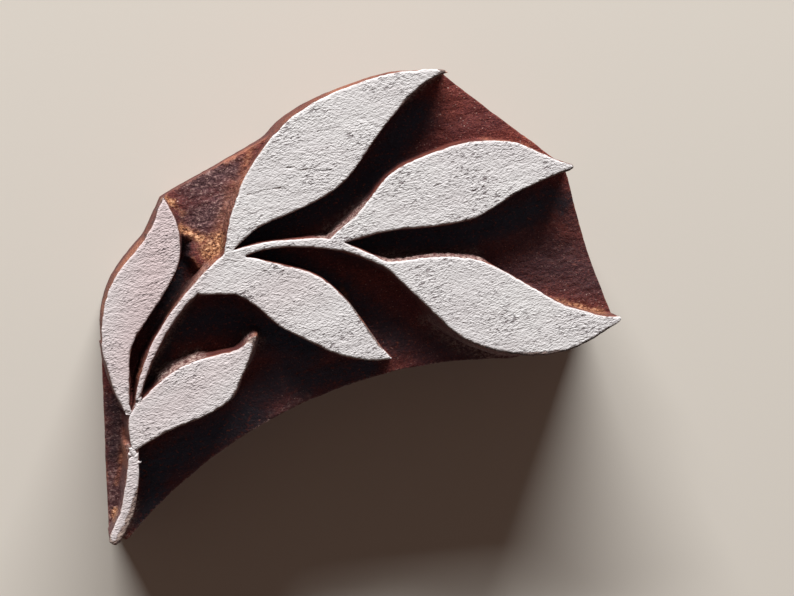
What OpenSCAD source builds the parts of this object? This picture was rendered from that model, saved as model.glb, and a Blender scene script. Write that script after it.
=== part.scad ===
// A hand-carved hardwood stamp for pottery and cloth: a sprig of six leaves
// stands up from the cut-away ground of one block, and the flat tops of the
// sprig carry a thin white ground coat, broken where it has chipped.
// The stamp lies on its back. X runs along the grain, Z up to the printing
// face, and the origin is under the middle of the block's box.

/* [Block] */
// Height of the stamp, from its back to its printing face
block_height = 32; // [24:0.5:45]
// Depth that the background is cut away round the sprig
relief_depth = 8; // [4:0.5:12]
// Radius of the hollow curve along the lower side
hollow_radius = 108; // [95:1:150]
// How far the right side bows in between the two right-hand leaf tips
right_side_bow = 1; // [0:0.25:3]
// How far the lower left corner stands out from the middle of the stem's round end
corner_reach = 3.5; // [2:0.25:6]

/* [Ground coat] */
// Thickness of the white ground coat on the printing face
coat_thickness = 0.4; // [0.2:0.1:1]
// Width of the crack between two pieces of the coat
crack_width = 0.5; // [0.3:0.1:1]
// Length of the chip that parts the coat of the stem's end from the rest
chip_length = 2; // [1:0.5:4]

/* [Stem] */
// Length of the whole stem along the grain, from its lower end to the lower right leaf
stem_span = 80; // [74:0.5:88]
// Rise of the stem from its lower end to its crest, across the grain
stem_rise = 44.5; // [40:0.5:48]
// Width of the stem where it is thinnest, at its foot and between the leaves
stem_width = 1.75; // [1.25:0.25:2.5]
// Width of the stem where the upper and the middle leaf leave it
junction_width = 3; // [2.5:0.25:4]
// Width of the stem's lower end, below the foot
end_width = 3; // [2:0.25:4]

/* [Upper leaf] */
// Length of the upper leaf, from its base to its tip
upper_leaf_length = 64.5; // [55:0.5:70]
// Greatest breadth of the upper leaf, square to its length
upper_leaf_width = 19; // [14:0.5:22]
// Turn of the upper leaf from the grain
upper_leaf_angle = 15; // [10:0.5:18]

/* [Right leaf] */
// Length of the right leaf, from the fork to its tip
right_leaf_length = 57.5; // [50:0.5:64]
// Greatest breadth of the right leaf, square to its length
right_leaf_width = 16.5; // [12:0.5:19]
// Turn of the right leaf from the grain
right_leaf_angle = -8.5; // [-12:0.5:-5]

/* [Lower right leaf] */
// Length of the lower right leaf, from its stalk to its tip
lower_leaf_length = 55; // [48:0.5:60]
// Greatest breadth of the lower right leaf, square to its length
lower_leaf_width = 18; // [14:0.5:20]
// Turn of the lower right leaf from the grain
lower_leaf_angle = -38.5; // [-43:0.5:-34]

/* [Middle leaf] */
// Length of the middle leaf, from the stem to its tip
middle_leaf_length = 45.5; // [38:0.5:48]
// Greatest breadth of the middle leaf, square to its length
middle_leaf_width = 14; // [10:0.5:16]
// Turn of the middle leaf from the grain
middle_leaf_angle = -43.5; // [-48:0.5:-40]

/* [Low left leaf] */
// Length of the low left leaf, from the stem to its tip
low_leaf_length = 37.5; // [30:0.5:42]
// Greatest breadth of the low left leaf, square to its length
low_leaf_width = 12; // [9:0.5:14]
// Turn of the low left leaf from the grain
low_leaf_angle = 18; // [14:0.5:22]

/* [Left leaf] */
// Length of the left leaf, from the foot to its tip
left_leaf_length = 48; // [42:0.5:54]
// Greatest breadth of the left leaf, square to its length
left_leaf_width = 12; // [9:0.5:14]
// Turn of the left leaf from the grain
left_leaf_angle = 55.5; // [50:0.5:60]

/* [Hidden] */

// Steps in each stretch of a curve
curve_steps = 4;
// Steps round the stem's round end
end_steps = 12;
// Steps along the hollow lower side
hollow_steps = 24;

wood = [0.36, 0.17, 0.14];
chalk = [0.79, 0.76, 0.76];

face_level = block_height - coat_thickness;
floor_level = block_height - relief_depth;

// A place on the stem, from its percent of the stem's span and rise
function on_stem(x, y) = [stem_span * x / 100, stem_rise * y / 100];

// Places that the leaves spring from
foot = on_stem(18, 53);
low_leaf_base = on_stem(14.5, 35);
middle_leaf_base = on_stem(49, 91);
upper_leaf_base = on_stem(59, 101);
fork = on_stem(87, 87.5);
lower_leaf_base = on_stem(99, 66);

// Middle of the stem, each point with its width, from the foot to the lower right leaf
stem_route = [
    [on_stem(20.5, 53), 0.6 * stem_width],
    [on_stem(24.5, 63), 0.8 * stem_width],
    [on_stem(32, 76.5), stem_width],
    [on_stem(41, 87.5), stem_width],
    [on_stem(47.5, 93), 1.2 * stem_width],
    [on_stem(59.5, 100), junction_width],
    [on_stem(68, 100), stem_width],
    [on_stem(78, 94.5), stem_width],
    [on_stem(87, 86.5), 1.4 * stem_width],
    [on_stem(92.5, 78.5), stem_width],
    [on_stem(98, 67.5), 0.8 * stem_width],
    [on_stem(100.5, 62), stem_width]
];

// Middle of the stem's lower end, from below the low left leaf
end_route = [
    [on_stem(15.5, 39.5), end_width],
    [on_stem(14, 31.5), 0.8 * end_width],
    [on_stem(10.5, 20), end_width],
    [on_stem(6, 9), end_width],
    [on_stem(0, 0), 0.9 * end_width]
];
stem_end = end_route[len(end_route) - 1][0];
stem_end_radius = end_route[len(end_route) - 1][1] / 2;

// Both edges of each leaf, as [percent of its length, percent of its width] from base to tip
upper_leaf_left = [
    [5, 14], [11, 31], [19, 48], [25, 58], [38, 71], [48, 77], [62, 71], [77, 54], [88, 36], [96, 14]
];
upper_leaf_right = [[10, 2], [17, 2], [35, -16], [46, -22], [54, -19], [73, -2], [90, 5]];
right_leaf_left = [[5, 9], [15, 25], [29, 59], [38, 69], [60, 74], [72, 66], [82, 52], [94, 17]];
right_leaf_right = [
    [7, -8], [18, -9], [29, -13], [42, -23], [56, -28], [64, -24], [76, -12], [90, -5]
];
lower_leaf_left = [[10, 11], [21, 23], [36, 30], [48, 24], [62, 12], [74, 1], [90, -2]];
lower_leaf_right = [[3, -8], [18, -35], [37, -68], [52, -75], [70, -69], [84, -50], [96, -17]];
middle_leaf_left = [[4, 50], [15, 79], [26, 84], [46, 89], [56, 84], [70, 64], [83, 34], [94, 9]];
middle_leaf_right = [
    [8, 9], [17, 19], [20, 18], [30, 10], [41, -6], [58, -15], [72, -21], [83, -19], [94, -9]
];
low_leaf_left = [[4, 18], [13, 52], [26, 59], [48, 57], [60, 47], [78, 18], [87, 3], [96, 4]];
low_leaf_right = [[10, -7], [26, -20], [46, -45], [62, -55], [68, -51], [77, -38], [89, -21]];
left_leaf_left = [[5, 20], [18, 49], [34, 73], [46, 77], [60, 66], [75, 35], [86, 10], [96, 4]];
left_leaf_right = [
    [3, -2], [12, 4], [25, 12], [33, 10], [49, -17], [58, -33], [70, -47], [80, -45], [88, -35], [97, -12]
];

// Where the block's outline meets three of the leaves, as percents in the same way
left_leaf_meeting = [34, 72];
upper_leaf_meeting = [40, 74];
lower_leaf_meeting = [64, -82];

// Turns from the grain, seen from the stem's end: to the block's corner and to its upper side
corner_angle = -55;
end_side_angle = 135;

// A leaf is its base, its size as [length, width], its angle and its two edges
function leaf(base, size, angle, left, right) = [base, size, angle, left, right];
upper_leaf = leaf(upper_leaf_base, [upper_leaf_length, upper_leaf_width], upper_leaf_angle,
    upper_leaf_left, upper_leaf_right);
right_leaf = leaf(fork, [right_leaf_length, right_leaf_width], right_leaf_angle,
    right_leaf_left, right_leaf_right);
lower_leaf = leaf(lower_leaf_base, [lower_leaf_length, lower_leaf_width], lower_leaf_angle,
    lower_leaf_left, lower_leaf_right);
middle_leaf = leaf(middle_leaf_base, [middle_leaf_length, middle_leaf_width], middle_leaf_angle,
    middle_leaf_left, middle_leaf_right);
low_leaf = leaf(low_leaf_base, [low_leaf_length, low_leaf_width], low_leaf_angle,
    low_leaf_left, low_leaf_right);
left_leaf = leaf(foot, [left_leaf_length, left_leaf_width], left_leaf_angle,
    left_leaf_left, left_leaf_right);
leaves = [upper_leaf, right_leaf, lower_leaf, middle_leaf, low_leaf, left_leaf];

function turned(p, angle) = [p.x * cos(angle) - p.y * sin(angle), p.x * sin(angle) + p.y * cos(angle)];
function unit(v) = v / max(norm(v), 0.001);

// A place on a leaf, from its share of the leaf's length and width
function on_leaf(leaf, share) =
    leaf[0] + turned([leaf[1].x * share.x / 100, leaf[1].y * share.y / 100], leaf[2]);
function leaf_tip(leaf) = on_leaf(leaf, [100, 0]);

// A smooth curve through points, as one cubic stretch between each two
function heading(points, i) =
    unit(points[min(i + 1, len(points) - 1)] - points[max(i - 1, 0)]);
function cubic(a, b, c, d, t) =
    pow(1 - t, 3) * a + 3 * pow(1 - t, 2) * t * b + 3 * (1 - t) * t * t * c + pow(t, 3) * d;
function stretch(points, i, t) =
    let (a = points[i], d = points[i + 1], pull = norm(d - a) / 3)
    cubic(a, a + pull * heading(points, i), d - pull * heading(points, i + 1), d, t);
function smooth(points) = [
    for (i = [0 : len(points) - 2], step = [0 : curve_steps - 1])
        stretch(points, i, step / curve_steps),
    points[len(points) - 1]
];

function leaf_edge(leaf, shares) =
    smooth([leaf[0], for (share = shares) on_leaf(leaf, share), leaf_tip(leaf)]);
function leaf_outline(leaf) =
    let (left = leaf_edge(leaf, leaf[3]), right = leaf_edge(leaf, leaf[4]))
    concat(left, [for (i = [len(right) - 2 : -1 : 1]) right[i]]);

// The block's lower side, an arc from the lower right leaf to the stem's end
hollow_from = on_leaf(lower_leaf, lower_leaf_meeting);
hollow_to = stem_end + turned([corner_reach, 0], corner_angle);
function arc_centre(a, b, radius) =
    (a + b) / 2 + sqrt(radius * radius - pow(norm(b - a) / 2, 2)) * turned(unit(b - a), 90);
hollow_centre = arc_centre(hollow_from, hollow_to, hollow_radius);
function bearing(v) = atan2(v.y, v.x);
function hollow_side() =
    let (start = bearing(hollow_from - hollow_centre), end = bearing(hollow_to - hollow_centre))
    [for (i = [0 : hollow_steps])
        hollow_centre + hollow_radius * turned([1, 0], start + (end - start) * i / hollow_steps)];

// The block's right side, bowed in between the tips of the two right-hand leaves
function right_side() =
    let (a = leaf_tip(right_leaf), d = leaf_tip(lower_leaf), inward = turned(unit(d - a), -90))
    smooth([a, (a + d) / 2 + right_side_bow * inward, d]);

// What is left of the block between the leaves that reach its sides
ground_outline = concat(
    [on_leaf(left_leaf, left_leaf_meeting), leaf_tip(left_leaf)],
    [on_leaf(upper_leaf, upper_leaf_meeting), leaf_tip(upper_leaf)],
    right_side(),
    hollow_side(),
    [stem_end + turned([stem_end_radius, 0], end_side_angle)]
);

// The middle of the block's box, from every outline that reaches its sides
reaching = concat(
    ground_outline,
    [stem_end - [stem_end_radius, 0]],
    [for (leaf = leaves) each leaf_outline(leaf)]
);
low_corner = [min([for (p = reaching) p.x]), min([for (p = reaching) p.y])];
high_corner = [max([for (p = reaching) p.x]), max([for (p = reaching) p.y])];
box_middle = (low_corner + high_corner) / 2;

// A leaf with its outline moved outwards
function grown(leaf, by) =
    [leaf[0] - turned([by, 0], leaf[2]), leaf[1] + [2 * by, 2 * by], leaf[2], leaf[3], leaf[4]];

module leaf_shape(leaf) {
    polygon(leaf_outline(leaf));
}

// A strip along a route, as wide at each point as the route says
module strip(route) {
    line = smooth([for (spot = route) spot[0]]);
    count = len(line) - 1;
    widths = [for (i = [0 : count])
        let (at = i / curve_steps, a = floor(at), b = min(a + 1, len(route) - 1))
        route[a][1] + (route[b][1] - route[a][1]) * (at - a)];
    side = [for (i = [0 : count]) turned(heading(line, i), 90) * widths[i] / 2];
    round_end = [for (i = [1 : end_steps - 1]) line[count] + turned(side[count], -180 * i / end_steps)];
    left = [for (i = [0 : count]) line[i] + side[i]];
    right = [for (i = [count : -1 : 0]) line[i] - side[i]];
    polygon(concat(left, round_end, right));
}

module sprig_shape() {
    for (leaf = leaves) leaf_shape(leaf);
    strip(stem_route);
    strip(end_route);
}

module block_shape() {
    polygon(ground_outline);
    sprig_shape();
}

module on_face() {
    translate([-box_middle.x, -box_middle.y, face_level]) linear_extrude(coat_thickness) children();
}

module carved_block() {
    color(wood) translate([-box_middle.x, -box_middle.y, 0]) {
        linear_extrude(floor_level) block_shape();
        linear_extrude(face_level) sprig_shape();
    }
}

module sprig_coat() {
    color(chalk) on_face() difference() {
        union() {
            for (leaf = [upper_leaf, right_leaf, lower_leaf, middle_leaf]) leaf_shape(leaf);
            strip(stem_route);
        }
        leaf_shape(grown(low_leaf, crack_width));
    }
}

module left_leaf_coat() {
    color(chalk) on_face() difference() {
        leaf_shape(left_leaf);
        leaf_shape(grown(low_leaf, crack_width));
    }
}

module low_leaf_coat() {
    color(chalk) on_face() leaf_shape(low_leaf);
}

module stem_end_coat() {
    color(chalk) on_face() difference() {
        strip(end_route);
        leaf_shape(grown(low_leaf, chip_length));
    }
}

carved_block();
sprig_coat();
left_leaf_coat();
low_leaf_coat();
stem_end_coat();
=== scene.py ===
import math

import bpy
import numpy as np
from mathutils import Matrix, Vector, kdtree
from mathutils.geometry import delaunay_2d_cdt


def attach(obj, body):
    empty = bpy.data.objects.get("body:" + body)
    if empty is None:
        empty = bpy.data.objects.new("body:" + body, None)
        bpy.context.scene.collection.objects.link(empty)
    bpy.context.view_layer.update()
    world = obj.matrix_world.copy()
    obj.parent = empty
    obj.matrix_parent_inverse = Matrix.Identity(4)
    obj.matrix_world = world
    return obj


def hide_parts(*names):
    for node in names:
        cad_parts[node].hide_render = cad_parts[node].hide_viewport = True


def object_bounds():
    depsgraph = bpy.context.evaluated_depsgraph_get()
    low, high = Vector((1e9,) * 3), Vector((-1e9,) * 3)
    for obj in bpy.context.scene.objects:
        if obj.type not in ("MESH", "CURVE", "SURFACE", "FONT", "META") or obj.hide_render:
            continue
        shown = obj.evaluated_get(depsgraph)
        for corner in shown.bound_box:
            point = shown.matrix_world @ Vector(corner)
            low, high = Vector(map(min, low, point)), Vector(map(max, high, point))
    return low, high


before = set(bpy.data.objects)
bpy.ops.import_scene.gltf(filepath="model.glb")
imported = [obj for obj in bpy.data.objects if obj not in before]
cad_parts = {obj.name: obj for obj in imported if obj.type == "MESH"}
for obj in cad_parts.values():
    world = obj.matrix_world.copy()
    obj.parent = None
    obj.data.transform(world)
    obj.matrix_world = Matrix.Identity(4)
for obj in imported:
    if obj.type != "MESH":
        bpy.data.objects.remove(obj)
cad_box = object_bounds()

# Lengths below are in millimetres, in the frame of the solids, and become metres in made()
MM = 0.001
# Turn of the wood's grain from the X axis, in degrees
GRAIN_TURN = -14
# Points nearer than this to a line lie on it
TOUCH = 0.02
# A distance beyond any in the object
FAR = 99.0


# Heights and outlines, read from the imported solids

def levels_of(node):
    """The heights at which a node has corners, from low to high."""
    return sorted({round(v.co.z / MM, 3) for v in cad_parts[node].data.vertices})


BACK, GROUND, WOOD_FACE = levels_of("carved_block")
COAT_FACE = levels_of("sprig_coat")[-1]


def level_outlines(node, level):
    """The corners of each loop round a node's flat faces at a height, anticlockwise from above."""
    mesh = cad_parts[node].data
    edges = set()
    for face in mesh.polygons:
        corners = [mesh.vertices[i].co / MM for i in face.vertices]
        if any(abs(c.z - level) > 0.001 for c in corners):
            continue
        spots = [(round(c.x, 4), round(c.y, 4)) for c in corners]
        for a, b in zip(spots, spots[1:] + spots[:1]):
            if (b, a) in edges:
                edges.remove((b, a))
            else:
                edges.add((a, b))
    follow = dict(edges)
    loops = []
    while follow:
        loop = [next(iter(follow))]
        while loop[-1] in follow:
            loop.append(follow.pop(loop[-1]))
        loops.append(np.array(loop[:-1]))
    return [loop if signed_area(loop) > 0 else loop[::-1] for loop in loops]


def signed_area(loop):
    """The loop's area, above 0 if it runs anticlockwise."""
    x, y = loop.T
    return (x * np.roll(y, -1) - np.roll(x, -1) * y).sum() / 2


def line_distances(points, starts, ends):
    """Distance from each point to each line segment, and how far along the segment it falls."""
    run = ends - starts
    square = np.maximum((run ** 2).sum(1), 1e-12)
    along = ((points[:, None] - starts) * run).sum(2) / square
    nearest = starts + np.clip(along, 0, 1)[..., None] * run
    return np.linalg.norm(points[:, None] - nearest, axis=2), along


def loop_distance(points, loop):
    return line_distances(points, loop, np.roll(loop, -1, 0))[0].min(1)


def inside(points, loop):
    """Whether each point lies inside the loop."""
    a, b = loop, np.roll(loop, -1, 0)
    x, y = points[:, None, 0], points[:, None, 1]
    rise = np.where(np.abs(b[:, 1] - a[:, 1]) < 1e-9, 1e-9, b[:, 1] - a[:, 1])
    crossing = (a[:, 1] > y) != (b[:, 1] > y)
    reached = x < a[:, 0] + (y - a[:, 1]) * (b[:, 0] - a[:, 0]) / rise
    return (crossing & reached).sum(1) % 2 == 1


def with_points_on(loop, others):
    """The loop with those of the other points that lie on its sides put in as corners."""
    distance, along = line_distances(others, loop, np.roll(loop, -1, 0))
    corners = []
    for i, corner in enumerate(loop):
        corners.append(corner)
        length = np.linalg.norm(loop[(i + 1) % len(loop)] - corner)
        on_it = (distance[:, i] < TOUCH) & (along[:, i] * length > TOUCH)
        on_it &= (1 - along[:, i]) * length > TOUCH
        corners.extend(others[on_it][np.argsort(along[on_it, i])])
    return np.array(corners)


def divided(loop, step):
    """The loop with its long sides cut into even pieces of at most the step."""
    points = []
    for a, b in zip(loop, np.roll(loop, -1, 0)):
        count = max(1, math.ceil(np.linalg.norm(b - a) / step))
        points.extend(a + (b - a) * i / count for i in range(count))
    return np.array(points)


def sharp_corners(loop, reach=3, least_turn=38):
    """Which points stand at a corner that is meant to be sharp: one of at least so many degrees."""
    before = loop - np.roll(loop, reach, 0)
    after = np.roll(loop, -reach, 0) - loop
    lengths = np.linalg.norm(before, axis=1) * np.linalg.norm(after, axis=1)
    return (before * after).sum(1) < math.cos(math.radians(least_turn)) * lengths


def smoothed(loop, passes, held):
    """The loop with small kinks evened out, apart from the held points."""
    for _ in range(passes):
        loop = np.where(held[:, None], loop, softened(loop, 1))
    return loop


def outward(loop, spread=1):
    """Unit vectors out of the loop at its points, averaged over some neighbours."""
    run = np.roll(loop, -1, 0) - loop
    run /= np.maximum(np.linalg.norm(run, axis=1), 1e-9)[:, None]
    side = np.stack([run[:, 1], -run[:, 0]], 1)
    mean = sum(np.roll(side, shift, 0) for shift in range(1 - spread, spread + 1))
    mean = softened(mean / np.maximum(np.linalg.norm(mean, axis=1), 1e-9)[:, None], 1)
    return mean / np.linalg.norm(mean, axis=1)[:, None]


def ray_gap(points, directions, loop):
    """How far each point sees along its direction before it meets the loop."""
    run = np.roll(loop, -1, 0) - loop
    across = directions[:, None, 0] * run[:, 1] - directions[:, None, 1] * run[:, 0]
    across = np.where(np.abs(across) < 1e-9, 1e-9, across)
    offset = loop - points[:, None]
    ahead = (offset[..., 0] * run[:, 1] - offset[..., 1] * run[:, 0]) / across
    along = (offset[..., 0] * directions[:, None, 1] - offset[..., 1] * directions[:, None, 0]) / across
    hit = (ahead > TOUCH) & (along >= 0) & (along <= 1)
    return np.where(hit, ahead, FAR).min(1)


def softened(values, passes):
    """The values round a loop, each averaged with its two neighbours."""
    for _ in range(passes):
        values = (np.roll(values, 1, 0) + 2 * values + np.roll(values, -1, 0)) / 4
    return values


def untangled(ring, reach=14):
    """The ring drawn straight wherever it crosses itself within so many points."""
    ring = ring.copy()
    for gap in range(reach, 1, -1):
        a, b = ring, np.roll(ring, -1, 0)
        c, d = np.roll(ring, -gap, 0), np.roll(ring, -gap - 1, 0)
        crossed = (side_of(a, b, c) * side_of(a, b, d) < 0) & (side_of(c, d, a) * side_of(c, d, b) < 0)
        for i in np.flatnonzero(crossed):
            loop = (i + np.arange(1, gap + 1)) % len(ring)
            start, end = ring[i], ring[(i + gap + 1) % len(ring)]
            ring[loop] = start + (end - start) * np.arange(1, gap + 1)[:, None] / (gap + 1)
    return ring


def side_of(a, b, c):
    """On which side of the line from a to b each c lies: above 0 to the left."""
    return (b[:, 0] - a[:, 0]) * (c[:, 1] - a[:, 1]) - (b[:, 1] - a[:, 1]) * (c[:, 0] - a[:, 0])


def smooth_step(values):
    """The values held between 0 and 1, with a soft start and end."""
    values = np.clip(values, 0, 1)
    return values * values * (3 - 2 * values)


# Seeded noise

# How many cells the noise has before it repeats, and how far each seed shifts it, in cells
NOISE_CELLS = 32
NOISE_SHIFT = 0.37


def noise(points, wavelength, seed):
    """Smooth noise from -1 to 1 in two or three dimensions, with one wavelength or one for each axis."""
    points = np.asarray(points, float)
    if points.shape[1] == 2:
        points = np.column_stack([points, np.zeros(len(points))])
    table = np.random.default_rng(seed).uniform(-1, 1, (NOISE_CELLS,) * 3)
    spot = points / wavelength + NOISE_SHIFT * seed
    cell = np.floor(spot).astype(int)
    part = spot - cell
    part = part * part * (3 - 2 * part)
    total = np.zeros(len(points))
    for corner in np.ndindex(2, 2, 2):
        share = np.prod(np.where(corner, part, 1 - part), axis=1)
        total += share * table[tuple(((cell + corner) % NOISE_CELLS).T)]
    return total


def marks(points, kind):
    """The height of one kind of mark at each point: noise, with finer and weaker copies on top."""
    height, wavelength, seed, octaves = kind
    wavelength = np.asarray(wavelength)
    return height * sum(noise(points, wavelength / 2 ** i, seed + i) / 2 ** i for i in range(octaves))


def along_grain(points, bearing=GRAIN_TURN):
    """The points turned so that their first axis runs along the grain."""
    turn = math.radians(bearing)
    turned = np.array(points, float)
    turned[:, 0] = points[:, 0] * math.cos(turn) + points[:, 1] * math.sin(turn)
    turned[:, 1] = points[:, 1] * math.cos(turn) - points[:, 0] * math.sin(turn)
    return turned


# Marked places: each is a line with two ends, a reach and a strength

# The marks of a frayed rim, whose height comes from the kind of place
FRAY = (1, 1.1, 83, 3)


def lines_through(reach, strength, *points):
    """Marked lines of one reach and strength from point to point."""
    return [(a, b, reach, strength) for a, b in zip(points, points[1:])]


def near_lines(points, lines, crisp=2, fray=0.0):
    """The strength of a set of lines at each point, with a soft or crisp, smooth or frayed rim."""
    total = np.zeros(len(points))
    flat = points[:, :2]
    shift = fray * marks(flat, FRAY) if fray else 0
    for start, end, reach, strength in lines:
        distance = line_distances(flat, np.array([start], float), np.array([end], float))[0][:, 0]
        total = np.maximum(total, strength * np.exp(-(np.maximum(distance + shift, 0) / reach) ** crisp))
    return total


# Building closed meshes from rings and patches

# How far a grid's points keep from the rim of their patch, as a share of the grid's spacing
GRID_CLEARANCE = 0.62
# The rows of an even grid of triangles, and how far its points stray, as shares of its spacing
ROW_SHARE = 0.866
GRID_STRAY = 0.2
# Faces that meet at a greater angle than this, in degrees, show a sharp edge
SHARP_ANGLE = 55


def linked(name, data):
    """A new object in the scene."""
    made = bpy.data.objects.new(name, data)
    bpy.context.scene.collection.objects.link(made)
    return made


class Shell:
    """Points and faces of one mesh, with named values at its points."""

    def __init__(self, names):
        self.points = []
        self.count = 0
        self.faces = []
        self.values = {name: [] for name in names}

    def ring(self, points, **values):
        """Adds points and returns their numbers."""
        self.points.append(points)
        for name, store in self.values.items():
            store.append(np.broadcast_to(values.get(name, 0.0), len(points)).astype(float))
        self.count += len(points)
        return np.arange(self.count - len(points), self.count)

    def band(self, upper, lower):
        """Joins two closed rings with as many points, the upper one seen first from outside."""
        quads = np.stack([upper, lower, np.roll(lower, -1), np.roll(upper, -1)], 1)
        self.faces.extend(quads.tolist())

    def bands(self, rings):
        for upper, lower in zip(rings, rings[1:]):
            self.band(upper, lower)

    def patch(self, loop, holes, grid, height, spacing, down=False, **values):
        """Fills a ring of points, less its holes, with triangles over a grid.

        The height function gets the new points and their distance from the ring.
        """
        points = np.concatenate(self.points)
        rings = [loop, *holes]
        numbers = np.unique(np.concatenate(rings))
        place = {n: i for i, n in enumerate(numbers)}
        rim = points[numbers, :2]
        tree = kdtree.KDTree(len(rim))
        for i, p in enumerate(rim):
            tree.insert((*p, 0), i)
        tree.balance()
        clear = [tree.find((*p, 0))[2] > GRID_CLEARANCE * spacing for p in grid]
        inner = grid[np.array(clear, bool)] if len(grid) else grid
        flat = np.concatenate([rim, inner]) if len(inner) else rim
        outlines = [[place[n] for n in ring] for ring in rings]
        made_points, _, faces, source, _, within = delaunay_2d_cdt(
            [Vector(p) for p in flat], [], outlines, 0, 1e-7, True
        )
        wanted = [f for f, outlines_in in zip(faces, within) if 0 in outlines_in and len(outlines_in) == 1]
        used = sorted({i for f in wanted for i in f})
        fresh = [i for i in used if not source[i] or source[i][0] >= len(rim)]
        spots = np.array([made_points[i] for i in fresh]).reshape(-1, 2)
        heights, extra = height(spots, np.array([tree.find((*p, 0))[2] for p in spots]))
        added = self.ring(np.column_stack([spots, heights]), **{**values, **extra})
        number = {i: int(numbers[source[i][0]]) for i in used if source[i] and source[i][0] < len(rim)}
        number.update(zip(fresh, added.tolist()))
        for f in wanted:
            corners = [number[i] for i in f]
            self.faces.append(corners[::-1] if down else corners)

    def made(self, name, material):
        """The finished object, in metres."""
        points = np.concatenate(self.points)
        points = np.clip(points, np.array(cad_box[0]) / MM, np.array(cad_box[1]) / MM)
        mesh = bpy.data.meshes.new(name)
        mesh.from_pydata((points * MM).tolist(), [], self.faces)
        for label, store in self.values.items():
            layer = mesh.attributes.new(label, "FLOAT", "POINT")
            layer.data.foreach_set("value", np.concatenate(store).astype(np.float32))
        mesh.materials.append(material)
        mesh.validate()
        mesh.shade_smooth()
        mesh.set_sharp_from_angle(angle=math.radians(SHARP_ANGLE))
        return linked(name, mesh)


def hex_grid(low, high, spacing, seed):
    """A jittered grid of points, as even triangles."""
    rows = np.arange(low[1], high[1], spacing * ROW_SHARE)
    columns = np.arange(low[0], high[0], spacing)
    x, y = np.meshgrid(columns, rows)
    x[1::2] += spacing / 2
    points = np.stack([x.ravel(), y.ravel()], 1)
    stray = np.random.default_rng(seed).uniform(-GRID_STRAY, GRID_STRAY, points.shape)
    return points + stray * spacing


# Places on the wood

# Where the dark surface is worn or cut down to orange or pinkish wood
LIGHT_WOOD = [
    ((-29.8, 25.8), (-43, 15.2), 1.3, 0.9),
    ((-26.6, 28), (-29.8, 25.8), 0.9, 0.5),
    ((-43, 15.2), (-46, 10), 1.2, 0.35),
    ((-5, 33.4), (4.9, 35.1), 1, 1),
    ((4.9, 36), (12.7, 38.2), 1.4, 1),
    ((14, 38.2), (22, 37.6), 1.2, 0.35),
    ((22.2, 37.6), (33, 37), 1.1, 0.8),
    ((33, 37), (46, 31.8), 0.9, 0.5),
    ((-20.1, 24), (-16.8, 19.5), 1, 1),
    ((-20.7, 16.9), (-20.4, 14.8), 0.4, 0.9),
    ((-20.4, 14.8), (-19, 13.5), 0.45, 1),
    ((-19, 13.5), (-16.5, 14), 0.7, 0.8),
    ((-5.5, 27.6), (-14, 18.5), 1.5, 0.55),
    ((-4.5, 27.2), (1, 33.5), 1, 0.8),
    ((-16.5, 14), (-30, 7.4), 1.3, 0.9),
    ((-30, 7.4), (-43, -1), 0.8, 0.5),
    ((-15.3, -4.2), (-16.8, -7.2), 0.8, 0.7),
    ((-50.4, -10.9), (-52.1, -14.1), 0.5, 0.7),
    ((-52.1, -14.1), (-54, -17), 0.7, 0.9),
    ((-54, -17), (-57.2, -21), 0.5, 0.6),
    ((-63.5, -31.5), (-61.5, -33), 0.9, 0.6),
    ((45, 30.5), (47, 31), 0.8, 1),
    ((49.2, 12.9), (58, 7), 0.6, 0.6),
    ((6.3, -3.4), (7.3, -17.4), 0.5, 0.4),
]
# Where the oil never took and the wood is golden
GOLDEN = [
    ((-16.6, 16.7), (-13.9, 17.8), 2.1, 0.95),
    ((-20.8, 24.2), (-17.2, 20), 0.75, 0.85),
    ((-20.9, 31.4), (-19.6, 29.9), 0.7, 0.9),
    ((-60.3, -27.6), (-59.6, -26.6), 1, 0.9),
    ((-20.2, 31.4), (-18.3, 26.9), 0.6, 0.45),
    ((46.8, -25.6), (57, -33.7), 0.9, 0.55),
]
# Where fine dust has greyed the ground and left it granular
DUSTY = [
    ((-16, 24), (-8, 25), 4.5, 0.9),
    ((-13, 31), (-5, 31), 4.5, 0.9),
    ((-50, -5), (-61, -28), 3, 0.8),
    ((-22, 21), (-22, 18), 1.6, 0.5),
    ((-26.2, 29.2), (-21.6, 32.2), 1.2, 1),
    ((-23, -23.5), (-11, -22), 1.3, 0.6),
    ((48, -6), (57, -26), 7, 0.3),
]
# Where torn fibres stand pale and pinkish, and where walls that lie in shadow are painted lighter, as
# painted light
PALE_FIBRES_AND_PAINTED_LIGHT = [
    ((17, -1), (37, -10), 1.2, 0.9),
    ((-38, -3), (-29, -3), 1.4, 1),
    ((6, 9), (19, 11.5), 1.2, 0.8),
    ((-43.5, -4.1), (-27.1, 7.5), 0.8, 0.5),
    ((-18.5, 13.6), (-31, 6.6), 1.2, 0.8),
    # Painted light: these three lines lighten the walls that lie in shadow under the lower right leaf
    ((20.5, -18), (24, -25), 1.4, 0.5),
    ((24, -25), (30.5, -32), 1.4, 0.8),
    ((30.5, -32), (37, -35.5), 1.2, 0.8),
    ((-17.2, -4.4), (-15.4, -6.2), 1.2, 0.9),
    ((35.6, 28.2), (46, 30.5), 0.7, 0.8),
    ((-26.9, -13.7), (-15.1, -6), 0.8, 0.5),
    ((-55.2, -26.4), (-62, -33), 1, 0.8),
]
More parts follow.
